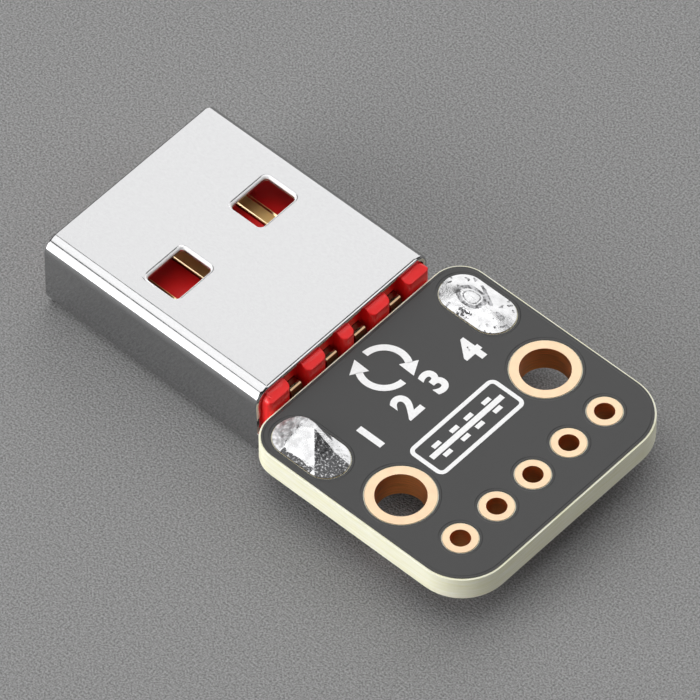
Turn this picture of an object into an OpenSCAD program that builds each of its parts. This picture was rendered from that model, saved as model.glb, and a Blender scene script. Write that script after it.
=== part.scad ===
// Reversible plug on a breakout board. A folded sheet shell holds a moulded
// carrier with a thin tongue and two rows of contacts. Two prongs of the shell
// are soldered into plated slots of a small board, whose far edge has a row of
// header holes and two mounting holes.
// Millimetres. +X runs from the mouth of the plug to the header edge, +Y across,
// +Z up. The origin is under the middle of the overall length, at the underside.

/* [Plug shell] */
// Outside width of the shell
shell_w = 12; // [11.8:0.05:12.4]
// Outside height of the shell
shell_h = 4.5; // [4.4:0.05:5]
// Length of the closed part of the shell
shell_l = 13.8; // [13:0.1:16]
// Thickness of the sheet
sheet_t = 0.3; // [0.2:0.05:0.35]
// Outside radius of the long bends
bend_r = 0.85; // [0.6:0.05:0.9]
// Length of a latch window, along the plug
window_l = 2; // [1.5:0.05:2.5]
// Width of a latch window, across the plug
window_w = 2.55; // [2:0.05:3]
// Corner radius of a latch window
window_r = 0.25; // [0.1:0.05:0.5]
// Distance from the mouth to the windows
window_setback = 5; // [4.8:0.02:6]
// Distance between the middles of the two windows
window_spacing = 5.9; // [5.2:0.1:6.2]
// Width of the butt seam along the underside
seam_gap = 0.08; // [0.05:0.01:0.12]
// Depth of the dovetails that lock the seam
lock_depth = 1; // [0.6:0.1:1.2]
// Width of a dovetail at its wide end
lock_w = 1.8; // [1.4:0.1:2.4]
// Width that a dovetail loses on each side at its root
lock_taper = 0.3; // [0.1:0.05:0.4]
// Distance from each end of the shell to the middle of a dovetail
lock_setback = 2.6; // [2:0.1:3.5]

/* [Shell prongs] */
// Length of a prong along the board
prong_l = 1.9; // [1.4:0.1:2.2]
// Height of a prong above the face of the board
prong_rise = 0.2; // [0.1:0.05:0.25]
// Chamfer at the tip of a prong
prong_chamfer = 0.35; // [0.1:0.05:0.5]
// Clearance between the arm of a prong and the underside of the board
arm_clearance = 0.15; // [0.1:0.05:0.3]

/* [Insulator] */
// Depth of the cavity behind the mouth
cavity_l = 9.6; // [8.8:0.1:10.4]
// Clearance between the insulator and the shell, all round
block_clearance = 0.05; // [0.02:0.01:0.1]
// Distance from the mouth to the nose of the tongue
tongue_setback = 0.8; // [0.5:0.1:1.2]
// Clearance between the sides of the tongue and the shell
tongue_clearance = 0.3; // [0.2:0.05:0.9]
// Thickness of the tongue
tongue_t = 0.5; // [0.4:0.05:0.7]
// Corner radius of the nose of the tongue, seen from above
tongue_r = 0.6; // [0.3:0.1:1]
// Chamfer along the nose of the tongue
nose_chamfer = 0.15; // [0.05:0.05:0.15]
// Reach of the rear teeth past the shell
tooth_reach = 0.5; // [0.3:0.05:0.5]
// Depth of the lead slots between the teeth, inside the shell
slot_recess = 0.25; // [0.15:0.05:0.6]
// Width of a lead slot
lead_slot_w = 1.15; // [1.1:0.05:1.3]
// Fall of the sloped top and bottom of a tooth, from the shell to its rear face
tooth_fall = 0.25; // [0.1:0.05:0.5]
// Radius of the upright corners of the teeth
tooth_r = 0.3; // [0.15:0.01:0.3]

/* [Contacts] */
// Width of a contact
contact_w = 0.8; // [0.7:0.05:1]
// Thickness of a contact
contact_t = 0.2; // [0.15:0.05:0.25]
// Distance between the middles of the two inner contacts
inner_spacing = 2; // [1.9:0.05:2.2]
// Distance from the side of the shell to the middle of an outer contact
contact_margin = 2.5; // [2.4:0.05:2.7]
// Distance from the mouth to the tips of the outer contacts
tip_setback = 1.5; // [1.3:0.1:2]
// Extra setback of the inner contacts
inner_lag = 1; // [0.5:0.1:1.5]
// Length of the thinned tip of a contact
tip_taper = 0.5; // [0.3:0.1:0.8]
// Depth of the grooves that hold the contacts
groove_depth = 0.05; // [0.03:0.01:0.1]
// Play round a contact in its groove
contact_play = 0.03; // [0.01:0.01:0.05]
// Rise of the upper contacts inside the block
contact_rise = 0.55; // [0.2:0.05:0.7]
// Distance from the front of the block to the ramp of that rise
ramp_setback = 1; // [0.5:0.1:1.2]
// Length of the ramp
ramp_l = 1.2; // [0.8:0.1:1.4]
// Length of the lower contacts inside the block
root_l = 3; // [2.4:0.1:3.4]
// Inside radius of the bends in a lead
lead_bend_r = 0.1; // [0.05:0.01:0.12]
// Distance from the rear edge of the shell to the outer face of a lead
lead_reach = 0.3; // [0.2:0.02:0.34]
// Length of the foot of a lead under the board
foot_l = 1.9; // [1.5:0.1:2.2]

/* [Board] */
// Length of the board
board_l = 14; // [13:0.1:18]
// Width of the board
board_w = 15; // [14.6:0.1:18]
// Thickness of the bare laminate
laminate_t = 1.4; // [1.3:0.05:1.6]
// Radius of the two corners next to the plug
front_r = 1.6; // [0.8:0.1:2]
// Radius of the two corners at the header edge
rear_r = 2.54; // [1:0.02:3]
// Gap between the shell and the board
board_gap = 0.6; // [0.55:0.05:1.2]
// Depth of the face of the board below the top of the shell
board_drop = 1.16; // [0.9:0.02:1.3]
// Thickness of the solder mask, and of the pads that it surrounds
mask_t = 0.05; // [0.03:0.01:0.08]
// Width of the bare rim round the solder mask
mask_inset = 0.1; // [0.05:0.01:0.2]
// Clearance of the solder mask round each pad
mask_clearance = 0.05; // [0.02:0.01:0.08]
// Wall of the plating in the holes
barrel_wall = 0.05; // [0.03:0.01:0.08]

/* [Holes] */
// Number of header holes
header_count = 5; // [3:1:5]
// Pitch of the header holes
header_pitch = 2.54; // [2:0.02:2.6]
// Bore of a header hole
header_hole_d = 1; // [0.8:0.05:1.1]
// Diameter of a header pad
header_pad_d = 1.72; // [1.5:0.02:1.8]
// Distance from the header edge to the header row
header_setback = 2.54; // [1.4:0.02:2.8]
// Bore of a mounting hole
mount_hole_d = 2.5; // [2:0.1:2.8]
// Diameter of the ring round a mounting hole
mount_pad_d = 3.46; // [3.2:0.02:3.6]
// Distance from the side of the board to the mounting holes
mount_margin = 2.42; // [2.2:0.02:2.7]
// Distance from the header edge to the mounting holes
mount_setback = 6.28; // [5.8:0.02:6.6]

/* [Tab slots] */
// Bore of a tab slot, along the board
tab_slot_l = 2.6; // [2.4:0.1:3]
// Bore of a tab slot, across the board
tab_slot_w = 0.7; // [0.5:0.05:0.9]
// Length of a tab pad
tab_pad_l = 4.2; // [3.8:0.1:4.4]
// Width of a tab pad
tab_pad_w = 2.3; // [1.6:0.1:2.3]
// Distance from the front of the board to the middle of the tab slots
tab_setback = 2.75; // [2.4:0.05:3]

/* [Solder] */
// Height of the steep solder joint
steep_joint_h = 0.6; // [0.4:0.05:0.8]
// Height of the flat solder joint
flat_joint_h = 0.32; // [0.3:0.02:0.4]
// Height of the fillets under the board
fillet_h = 0.12; // [0.05:0.01:0.14]
// Bare rim of a pad round its solder
solder_inset = 0.06; // [0.02:0.01:0.1]
// Length of a lead pad
lead_pad_l = 2; // [1.6:0.1:2.4]
// Width of a lead pad
lead_pad_w = 1.5; // [1.3:0.05:1.6]
// Distance from the front of the board to the lead pads
lead_pad_setback = 0.4; // [0.2:0.05:0.6]

/* [Hidden] */
$fn = 64;
hull_fn = 32;
// Overlap of pieces that are joined, and of cuts past a face
over = 0.2;
// Thin start of a solder hull
skin = 0.02;
// Share of its footprint that a tab joint keeps at half its height, as length and width
shoulder = [0.88, 0.8];
shell_color = [0.82, 0.82, 0.83];
insulator_color = [0.86, 0.06, 0.06];
contact_color = [0.83, 0.62, 0.28];
laminate_color = [0.86, 0.84, 0.62];
mask_color = [0.18, 0.18, 0.18];
pad_color = [0.95, 0.82, 0.6];
solder_color = [0.75, 0.76, 0.78];

overall_l = shell_l + board_gap + board_l;
mouth_x = -overall_l / 2;
shell_rear = mouth_x + shell_l;
board_front = shell_rear + board_gap;
board_rear = board_front + board_l;
middle_z = shell_h / 2;
inner_h = shell_h - 2 * sheet_t;

face_z = shell_h - board_drop;
laminate_top = face_z - mask_t;
laminate_bottom = laminate_top - laminate_t;
underside_z = laminate_bottom - mask_t;
laminate_mid = (laminate_top + laminate_bottom) / 2;

header_x = board_rear - header_setback;
mount_x = board_rear - mount_setback;
mount_y = board_w / 2 - mount_margin;
tab_x = board_front + tab_setback;
tab_y = (shell_w - sheet_t) / 2;
header_y = [for (i = [1:header_count]) (i - (header_count + 1) / 2) * header_pitch];
outer_y = shell_w / 2 - contact_margin;
contact_y = [-outer_y, -inner_spacing / 2, inner_spacing / 2, outer_y];
contact_tip = [for (y = contact_y) mouth_x + tip_setback + (abs(y) < outer_y ? inner_lag : 0)];
sides = ["near", "far"];
side_of = [-1, 1];

tongue_w = shell_w - 2 * (sheet_t + tongue_clearance);
block_w = shell_w - 2 * (sheet_t + block_clearance);
block_h = inner_h - 2 * block_clearance;
block_r = bend_r - sheet_t - block_clearance;
block_front = mouth_x + cavity_l;
block_rear = shell_rear + tooth_reach;
slot_wall = shell_rear - slot_recess;

// Height of the inner face of the contacts above and below the middle
contact_seat = tongue_t / 2 - groove_depth;
// Thickness of the end of a contact
tip_t = contact_t / 4;
ramp_start = block_front + ramp_setback;
ramp_end = ramp_start + ramp_l;
lead_face = shell_rear + lead_reach;
foot_end = board_front + foot_l;
lead_pad_x = board_front + lead_pad_setback + lead_pad_l / 2;

// Outline with four equal round corners, in the middle of the sheet
module round_rect(l, w, r) {
    square([l, w - 2 * r], center = true);
    square([l - 2 * r, w], center = true);
    for (x = [-1, 1], y = [-1, 1])
        translate([x * (l / 2 - r), y * (w / 2 - r)]) circle(r);
}

// Outline with two round ends, along X
module pill(l, w) {
    square([l - w, w], center = true);
    for (x = [-1, 1]) translate([x * (l - w) / 2, 0]) circle(d = w);
}

// Section drawn as (Y, Z), run along X from x0 to x1
module along_x(x0, x1) {
    translate([x0, 0, 0]) rotate([90, 0, 90]) linear_extrude(x1 - x0) children();
}

// Profile drawn as (X, Z), run along Y over a width, about y
module along_y(width, y = 0) {
    translate([0, y + width / 2, 0]) rotate([90, 0, 0]) linear_extrude(width) children();
}

// Outline drawn as (X, Y), run along Z from z0 to z1
module along_z(z0, z1) {
    translate([0, 0, z0]) linear_extrude(z1 - z0) children();
}

// Straight cut of the seam's width between two points
module seam_cut(p, q) {
    d = q - p;
    translate(p) rotate(atan2(d.y, d.x))
        translate([-seam_gap / 2, -seam_gap / 2]) square([norm(d) + seam_gap, seam_gap]);
}

// Line of the seam: straight, with a dovetail towards +Y at each end of the shell
module seam() {
    root = lock_w / 2 - lock_taper;
    locks = [mouth_x + lock_setback, shell_rear - lock_setback];
    seam_cut([mouth_x - over, 0], [locks[0] - root, 0]);
    seam_cut([locks[0] + root, 0], [locks[1] - root, 0]);
    seam_cut([locks[1] + root, 0], [shell_rear + over, 0]);
    for (x = locks) {
        seam_cut([x - root, 0], [x - lock_w / 2, lock_depth]);
        seam_cut([x - lock_w / 2, lock_depth], [x + lock_w / 2, lock_depth]);
        seam_cut([x + lock_w / 2, lock_depth], [x + root, 0]);
    }
}

// Arm under the board with a prong that stands up through it, as (X, Z)
module prong_profile() {
    x0 = tab_x - prong_l / 2;
    x1 = tab_x + prong_l / 2;
    top = face_z + prong_rise;
    arm_top = underside_z - arm_clearance;
    polygon([
        [shell_rear - over, bend_r],
        [x1 - prong_chamfer, bend_r],
        [x1, bend_r + prong_chamfer],
        [x1, top - prong_chamfer],
        [x1 - prong_chamfer, top],
        [x0 + prong_chamfer, top],
        [x0, top - prong_chamfer],
        [x0, arm_top],
        [shell_rear - over, arm_top]
    ]);
}

module plug_shell() {
    color(shell_color) {
        difference() {
            translate([0, 0, middle_z]) along_x(mouth_x, shell_rear) difference() {
                round_rect(shell_w, shell_h, bend_r);
                round_rect(shell_w - 2 * sheet_t, inner_h, bend_r - sheet_t);
            }
            along_z(-over, shell_h + over) for (s = side_of)
                translate([mouth_x + window_setback + window_l / 2, s * window_spacing / 2])
                    round_rect(window_l, window_w, window_r);
            along_z(-over, sheet_t + over) seam();
        }
        for (s = side_of) along_y(sheet_t, s * tab_y) prong_profile();
    }
}

// Groove for a contact and passage into the block, with its floor at Z = 0, as (X, Z)
module way_profile(i, x1, rise) {
    x0 = contact_tip[i] - contact_play;
    depth = contact_t + contact_play;
    polygon([
        [x0, 0], [ramp_start, 0], [ramp_end, rise], [x1, rise],
        [x1, rise + depth], [ramp_end, rise + depth], [ramp_start, depth], [x0, depth]
    ]);
}

// Cut for a contact on each face of the tongue; the upper one climbs to its lead slot
module contact_ways(i) {
    along_y(contact_w + 2 * contact_play, contact_y[i]) {
        translate([0, middle_z + contact_seat]) way_profile(i, block_rear + over, contact_rise);
        translate([0, middle_z - contact_seat]) mirror([0, 1])
            way_profile(i, block_front + root_l + contact_play, 0);
    }
}

// Outline of a lead slot about Y = 0, flared to round the corners of the teeth beside it
module lead_slot() {
    flare_x = block_rear - tooth_r;
    translate([slot_wall, -lead_slot_w / 2]) square([block_rear - slot_wall + over, lead_slot_w]);
    for (s = side_of) translate([flare_x, s * (lead_slot_w + tooth_r) / 2]) difference() {
        translate([0, -tooth_r / 2]) square([tooth_r + over, tooth_r]);
        translate([0, s * tooth_r / 2]) circle(tooth_r);
    }
}

// Outline of the block from above, with its rear corners rounded and the lead slots cut
module block_plan() {
    body_l = block_rear - tooth_r - block_front;
    difference() {
        union() {
            translate([block_front, -block_w / 2]) square([body_l, block_w]);
            translate([block_front, tooth_r - block_w / 2])
                square([body_l + tooth_r, block_w - 2 * tooth_r]);
            for (s = side_of)
                translate([block_rear - tooth_r, s * (block_w / 2 - tooth_r)]) circle(tooth_r);
        }
        for (y = contact_y) translate([0, y]) lead_slot();
    }
}

module insulator() {
    nose = mouth_x + tongue_setback;
    half_t = tongue_t / 2;
    half_h = block_h / 2;
    c = nose_chamfer;
    slope_h = half_h - tooth_fall;
    color(insulator_color) difference() {
        translate([0, 0, middle_z]) {
            // Tongue
            intersection() {
                along_y(tongue_w) polygon([
                    [nose + c, -half_t], [block_front + over, -half_t],
                    [block_front + over, half_t], [nose + c, half_t],
                    [nose, half_t - c], [nose, c - half_t]
                ]);
                along_z(-half_t, half_t)
                    translate([nose + overall_l / 2, 0]) round_rect(overall_l, tongue_w, tongue_r);
            }
            // Block behind the cavity, with the teeth sloped above and below
            intersection() {
                along_x(block_front, block_rear) round_rect(block_w, block_h, block_r);
                along_y(block_w) polygon([
                    [block_front, -half_h], [shell_rear, -half_h], [block_rear, -slope_h],
                    [block_rear, slope_h], [shell_rear, half_h], [block_front, half_h]
                ]);
                along_z(-half_h, half_h) block_plan();
            }
        }
        for (i = [0:3]) contact_ways(i);
    }
}

// Strip of a contact with its tip thinned on the outer face, and a rise in the block, as (X, Z)
module strip_profile(tip, x1, rise) {
    polygon([
        [tip, 0], [ramp_start, 0], [ramp_end, rise], [x1, rise],
        [x1, rise + contact_t], [ramp_end, rise + contact_t], [ramp_start, contact_t],
        [tip + tip_taper, contact_t], [tip, tip_t]
    ]);
}

// Quarter of a bend in a lead, about the origin; turn picks the quarter
module lead_bend(turn) {
    r = lead_bend_r + contact_t;
    rotate(turn) intersection() {
        difference() {
            circle(r);
            circle(lead_bend_r);
        }
        square(r);
    }
}

// Strip on the tongue, through the block, down a lead slot and under the board
module upper_contact(i) {
    seat = middle_z + contact_seat;
    bend_x = lead_face - contact_t - lead_bend_r;
    upper_z = seat + contact_rise - lead_bend_r;
    foot_z = underside_z + lead_bend_r;
    foot_x = lead_face + lead_bend_r;
    color(contact_color) along_y(contact_w, contact_y[i - 1]) {
        translate([0, seat]) strip_profile(contact_tip[i - 1], bend_x, contact_rise);
        translate([bend_x, upper_z]) lead_bend(0);
        translate([lead_face - contact_t, foot_z]) square([contact_t, upper_z - foot_z]);
        translate([foot_x, foot_z]) lead_bend(180);
        translate([foot_x, underside_z - contact_t]) square([foot_end - foot_x, contact_t]);
    }
}

// Strip under the tongue, rooted in the block
module lower_contact(i) {
    color(contact_color) along_y(contact_w, contact_y[i - 1])
        translate([0, middle_z - contact_seat]) mirror([0, 1])
            strip_profile(contact_tip[i - 1], block_front + root_l, 0);
}

// Outline of the board, drawn in from its edge
module board_outline(inset = 0) {
    x0 = board_front + inset;
    x1 = board_rear - inset;
    w = board_w - 2 * inset;
    rf = front_r - inset;
    rr = rear_r - inset;
    translate([x0 + rf, -w / 2]) square([x1 - rr - x0 - rf, w]);
    translate([x0, rf - w / 2]) square([rf, w - 2 * rf]);
    translate([x1 - rr, rr - w / 2]) square([rr, w - 2 * rr]);
    for (s = side_of) {
        translate([x0 + rf, s * (w / 2 - rf)]) circle(rf);
        translate([x1 - rr, s * (w / 2 - rr)]) circle(rr);
    }
}

// Every plated hole, drawn larger than its bore by a margin all round
module bores(margin) {
    for (y = header_y) translate([header_x, y]) circle(d = header_hole_d + 2 * margin);
    for (s = side_of) {
        translate([mount_x, s * mount_y]) circle(d = mount_hole_d + 2 * margin);
        translate([tab_x, s * tab_y]) pill(tab_slot_l + 2 * margin, tab_slot_w + 2 * margin);
    }
}

// Every pad round a plated hole, drawn larger by a margin all round
module ring_pads(margin) {
    for (y = header_y) translate([header_x, y]) circle(d = header_pad_d + 2 * margin);
    for (s = side_of) {
        translate([mount_x, s * mount_y]) circle(d = mount_pad_d + 2 * margin);
        translate([tab_x, s * tab_y]) pill(tab_pad_l + 2 * margin, tab_pad_w + 2 * margin);
    }
}

module laminate() {
    color(laminate_color) along_z(laminate_bottom, laminate_top) difference() {
        board_outline();
        bores(barrel_wall);
    }
}

module top_solder_mask() {
    color(mask_color) along_z(laminate_top, face_z) difference() {
        board_outline(mask_inset);
        ring_pads(mask_clearance);
    }
}

module bottom_solder_mask() {
    color(mask_color) along_z(underside_z, laminate_bottom) difference() {
        board_outline(mask_inset);
        ring_pads(mask_clearance);
        for (y = contact_y) translate([lead_pad_x, y])
            square([lead_pad_l, lead_pad_w] + 2 * mask_clearance * [1, 1], center = true);
    }
}

// Plated round hole with a ring on both faces of the laminate
module round_barrel(hole_d, pad_d) {
    difference() {
        union() {
            along_z(laminate_bottom, laminate_top) circle(d = hole_d + 2 * barrel_wall);
            along_z(laminate_top, face_z) circle(d = pad_d);
            along_z(underside_z, laminate_bottom) circle(d = pad_d);
        }
        translate([0, 0, underside_z - over]) cylinder(d = hole_d, h = face_z - underside_z + 2 * over);
    }
}

module header_barrel(i) {
    color(pad_color) translate([header_x, header_y[i - 1], 0])
        round_barrel(header_hole_d, header_pad_d);
}

module mount_barrel(s) {
    color(pad_color) translate([mount_x, s * mount_y, 0])
        round_barrel(mount_hole_d, mount_pad_d);
}

module tab_barrel(s) {
    color(pad_color) translate([tab_x, s * tab_y, 0]) difference() {
        union() {
            along_z(laminate_bottom, laminate_top)
                pill(tab_slot_l + 2 * barrel_wall, tab_slot_w + 2 * barrel_wall);
            along_z(laminate_top, face_z) pill(tab_pad_l, tab_pad_w);
            along_z(underside_z, laminate_bottom) pill(tab_pad_l, tab_pad_w);
        }
        along_z(underside_z - over, face_z + over) pill(tab_slot_l, tab_slot_w);
    }
}

// Solder that fills a tab slot round its prong, domed above and filleted below
module tab_solder(s) {
    l = tab_pad_l - 2 * solder_inset;
    w = tab_pad_w - 2 * solder_inset;
    steep = s < 0;
    joint_h = steep ? steep_joint_h : flat_joint_h;
    crest_l = steep ? prong_l / 2 : prong_l + w / 2;
    crest_w = steep ? w / 4 : w / 2;
    color(solder_color) difference() {
        translate([tab_x, s * tab_y, 0]) {
            along_z(underside_z, face_z) pill(tab_slot_l, tab_slot_w);
            hull() {
                along_z(face_z, face_z + skin) pill(l, w, $fn = hull_fn);
                along_z(face_z, face_z + joint_h / 2) pill(l * shoulder[0], w * shoulder[1], $fn = hull_fn);
                along_z(face_z, face_z + joint_h) pill(crest_l, crest_w, $fn = hull_fn);
            }
            hull() {
                along_z(underside_z - skin, underside_z) pill(l, w, $fn = hull_fn);
                along_z(underside_z - fillet_h, underside_z)
                    pill(tab_slot_l, tab_slot_w, $fn = hull_fn);
            }
        }
        along_y(sheet_t, s * tab_y) prong_profile();
    }
}

module lead_pad(i) {
    color(pad_color) along_z(underside_z, laminate_bottom) translate([lead_pad_x, contact_y[i - 1]])
        square([lead_pad_l, lead_pad_w], center = true);
}

// Fillet of solder round the foot of a lead
module lead_solder(i) {
    l = lead_pad_l - 2 * solder_inset;
    w = lead_pad_w - 2 * solder_inset;
    color(solder_color) difference() {
        translate([lead_pad_x, contact_y[i - 1], 0]) hull() {
            along_z(underside_z - skin, underside_z) square([l, w], center = true);
            along_z(underside_z - fillet_h, underside_z)
                square([l - 2 * fillet_h, contact_w + fillet_h], center = true);
        }
        translate([lead_face, contact_y[i - 1] - contact_w / 2, underside_z - contact_t])
            cube([foot_end - lead_face, contact_w, contact_t]);
    }
}

plug_shell();
insulator();
for (i = [1:4]) {
    upper_contact(i);
    lower_contact(i);
    lead_pad(i);
    lead_solder(i);
}
laminate();
top_solder_mask();
bottom_solder_mask();
for (i = [1:header_count])
    header_barrel(i);
for (k = [0, 1]) {
    mount_barrel(side_of[k]);
    tab_barrel(side_of[k]);
    tab_solder(side_of[k]);
}
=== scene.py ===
"""Dressed model of a reversible plug on a breakout board, in a plain studio."""

import logging
import math
from abc import ABC, abstractmethod
from collections.abc import Callable
from dataclasses import dataclass, field
from enum import Enum
from functools import cache

import bpy
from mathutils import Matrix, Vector, noise


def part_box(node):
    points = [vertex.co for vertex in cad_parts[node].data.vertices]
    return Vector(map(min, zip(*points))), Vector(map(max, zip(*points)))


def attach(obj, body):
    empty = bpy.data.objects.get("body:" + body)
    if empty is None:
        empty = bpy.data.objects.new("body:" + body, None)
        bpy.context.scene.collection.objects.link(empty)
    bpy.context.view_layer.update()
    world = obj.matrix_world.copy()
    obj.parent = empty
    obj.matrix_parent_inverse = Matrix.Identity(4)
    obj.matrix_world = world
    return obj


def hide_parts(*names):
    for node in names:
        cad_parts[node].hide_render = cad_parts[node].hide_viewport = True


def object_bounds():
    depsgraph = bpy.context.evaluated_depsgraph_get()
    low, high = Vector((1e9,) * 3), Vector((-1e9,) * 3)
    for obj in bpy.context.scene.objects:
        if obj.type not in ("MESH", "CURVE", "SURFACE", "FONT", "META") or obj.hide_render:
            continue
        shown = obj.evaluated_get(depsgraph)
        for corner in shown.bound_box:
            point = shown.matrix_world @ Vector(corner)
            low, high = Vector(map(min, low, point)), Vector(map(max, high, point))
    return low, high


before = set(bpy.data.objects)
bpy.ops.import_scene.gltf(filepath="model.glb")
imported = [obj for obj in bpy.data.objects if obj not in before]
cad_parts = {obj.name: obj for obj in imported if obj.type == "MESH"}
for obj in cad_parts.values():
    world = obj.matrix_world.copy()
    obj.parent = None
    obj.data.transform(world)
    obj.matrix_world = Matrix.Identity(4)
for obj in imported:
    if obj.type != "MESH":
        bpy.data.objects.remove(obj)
CAD_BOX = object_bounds()

# Lengths on the bench are in millimetres, and the frame is in metres
MM = 0.001
BODY = "root"
MERGE_DISTANCE = 0.0004
FLAT_ANGLE = math.radians(0.5)
SHARP_ANGLE = math.radians(35)
SMOOTH_ANGLE = math.radians(40)
FLAT_COSINE = 0.98
FEW_SEGMENTS, EDGE_SEGMENTS, BEND_SEGMENTS = 2, 3, 4
PATTERN_MIDDLE = 0.5
LOG = logging.getLogger("plug_board")

Colour = tuple[float, float, float]
Point = tuple[float, float, float]
Piece = bpy.types.Object
Socket = bpy.types.NodeSocket


class Pick(Enum):
    """Element of a mesh that is selected."""

    EDGES = "EDGE"
    FACES = "FACE"


class Row(Enum):
    """Row of contacts, above or below the tongue."""

    UPPER = "upper"
    LOWER = "lower"

    @property
    def outward(self) -> int:
        """Way that the row faces: 1 up, -1 down."""
        return 1 if self is Row.UPPER else -1


class Side(Enum):
    """Side of the board, seen from the camera."""

    NEAR = "near"
    FAR = "far"


class Coat(Enum):
    """Face of the board that a coat of mask covers."""

    TOP = "top"
    BOTTOM = "bottom"

    @property
    def outward(self) -> int:
        """Way that the coat faces: 1 up, -1 down."""
        return 1 if self is Coat.TOP else -1


class Octaves(Enum):
    """Layers of ever finer noise in a pattern."""

    FEW = 2.0
    SOME = 3.0
    MANY = 4.0


# Bench work

def leave_mesh() -> None:
    """Go back from edit mode to object mode."""
    bpy.ops.object.mode_set(mode="OBJECT")


def clear_bench() -> None:
    """Deselect everything, in object mode, as before a primitive is added."""
    if bpy.context.object and bpy.context.object.mode != "OBJECT":
        leave_mesh()
    bpy.ops.object.select_all(action="DESELECT")


def work_on(piece: Piece) -> None:
    """Make a piece the only selected one, in object mode.

    Args:
        piece: the piece to work on.
    """
    clear_bench()
    piece.select_set(True)
    bpy.context.view_layer.objects.active = piece


def pick(piece: Piece, kind: Pick, test: Callable[[object], bool]) -> None:
    """Select the elements of a piece that pass a test, and stay in edit mode.

    Args:
        piece: the piece on the bench.
        kind: element that is tested.
        test: takes an edge or a face of the mesh.
    """
    work_on(piece)
    bpy.ops.object.mode_set(mode="EDIT")
    bpy.ops.mesh.select_mode(type=kind.value)
    bpy.ops.mesh.select_all(action="DESELECT")
    leave_mesh()
    mesh = piece.data
    groups = {Pick.EDGES: mesh.edges, Pick.FACES: mesh.polygons}
    for element in groups[kind]:
        element.select = test(element)
    bpy.ops.object.mode_set(mode="EDIT")


def pick_all(piece: Piece) -> None:
    """Select every face of a piece, and stay in edit mode."""
    pick(piece, Pick.FACES, lambda face: True)


def bench_copy(node: str, name: str) -> Piece:
    """Copy a CAD node to the bench, in millimetres, with its triangles merged into flats.

    Args:
        node: name of the CAD node.
        name: name of the new piece.

    Returns:
        The copy, in object mode.
    """
    piece = bpy.data.objects.new(name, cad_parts[node].data.copy())
    piece.data.name = name
    piece.data.materials.clear()
    bpy.context.scene.collection.objects.link(piece)
    work_on(piece)
    piece.scale = (1 / MM,) * 3
    bpy.ops.object.transform_apply(location=False, rotation=False, scale=True)
    bpy.ops.mesh.customdata_custom_splitnormals_clear()
    bpy.ops.object.mode_set(mode="EDIT")
    bpy.ops.mesh.select_all(action="SELECT")
    bpy.ops.mesh.remove_doubles(threshold=MERGE_DISTANCE)
    bpy.ops.mesh.dissolve_limited(angle_limit=FLAT_ANGLE)
    leave_mesh()
    return piece


def apply_modifier(piece: Piece, kind: str, **settings: object) -> None:
    """Add a modifier to a piece and apply it.

    Args:
        piece: the piece on the bench.
        kind: type of the modifier.
        settings: values of the modifier.
    """
    work_on(piece)
    modifier = piece.modifiers.new(kind.lower(), kind)
    for key, value in settings.items():
        setattr(modifier, key, value)
    bpy.ops.object.modifier_apply(modifier=modifier.name)


def round_edges(piece: Piece, radius: float, segments: int = EDGE_SEGMENTS) -> None:
    """Round every sharp edge of a piece.

    Args:
        piece: the piece on the bench.
        radius: width of the rounding in millimetres.
        segments: faces across the rounding.
    """
    apply_modifier(piece, "BEVEL", width=radius, segments=segments, limit_method="ANGLE",
                   angle_limit=SHARP_ANGLE, use_clamp_overlap=False)


def edge_angles(piece: Piece) -> dict[tuple[int, int], float]:
    """Angle between the two faces at each edge of a piece.

    Args:
        piece: the piece on the bench.

    Returns:
        The angle for each pair of vertices that an edge joins.
    """
    normals: dict[tuple[int, int], list[Vector]] = {}
    for face in piece.data.polygons:
        for key in face.edge_keys:
            normals.setdefault(tuple(sorted(key)), []).append(face.normal.copy())
    return {key: pair[0].angle(pair[1], 0.0) for key, pair in normals.items() if len(pair) == 2}


def round_some(piece: Piece, where: Callable[[Vector], bool], radius: float) -> None:
    """Round the sharp edges that lie in one place.

    Args:
        piece: the piece on the bench.
        where: tells whether a point is in that place.
        radius: width of the rounding in millimetres.
    """
    angles = edge_angles(piece)
    points = piece.data.vertices
    pick(piece, Pick.EDGES, lambda e: angles.get(tuple(sorted(e.vertices)), 0) > SHARP_ANGLE
         and all(where(points[v].co) for v in e.vertices))
    bpy.ops.mesh.bevel(offset=radius, segments=BEND_SEGMENTS, clamp_overlap=False)
    leave_mesh()


def smooth(piece: Piece, angle: float = SMOOTH_ANGLE) -> None:
    """Shade a piece smooth, except over edges sharper than an angle.

    Args:
        piece: the piece on the bench.
        angle: in radians.
    """
    work_on(piece)
    bpy.ops.object.shade_smooth_by_angle(angle=angle)
    apply_modifier(piece, "WEIGHTED_NORMAL", keep_sharp=True)


def join(pieces: list[Piece], name: str) -> Piece:
    """Join pieces into one object.

    Args:
        pieces: pieces on the bench.
        name: name of the joined piece.

    Returns:
        The joined piece.
    """
    work_on(pieces[0])
    for piece in pieces:
        piece.select_set(True)
    bpy.ops.object.join()
    pieces[0].name = name
    pieces[0].data.name = name
    return pieces[0]


def mount(piece: Piece, material: bpy.types.Material, slot: str | None, *nodes: str) -> Piece:
    """Move a finished piece from the bench to the frame and dress it.

    Args:
        piece: the piece, in millimetres.
        material: its finish.
        slot: material slot of the record, if the record has one for it; not used.
        nodes: CAD nodes that it stands for.

    Returns:
        The same piece, in metres.
    """
    work_on(piece)
    piece.scale = (MM,) * 3
    bpy.ops.object.transform_apply(location=True, rotation=True, scale=True)
    piece.data.materials.clear()
    piece.data.materials.append(material)
    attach(piece, BODY)
    if nodes:
        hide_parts(*nodes)
    LOG.info("%s: %d faces, %s", piece.name, len(piece.data.polygons), material.name)
    return piece


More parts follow.
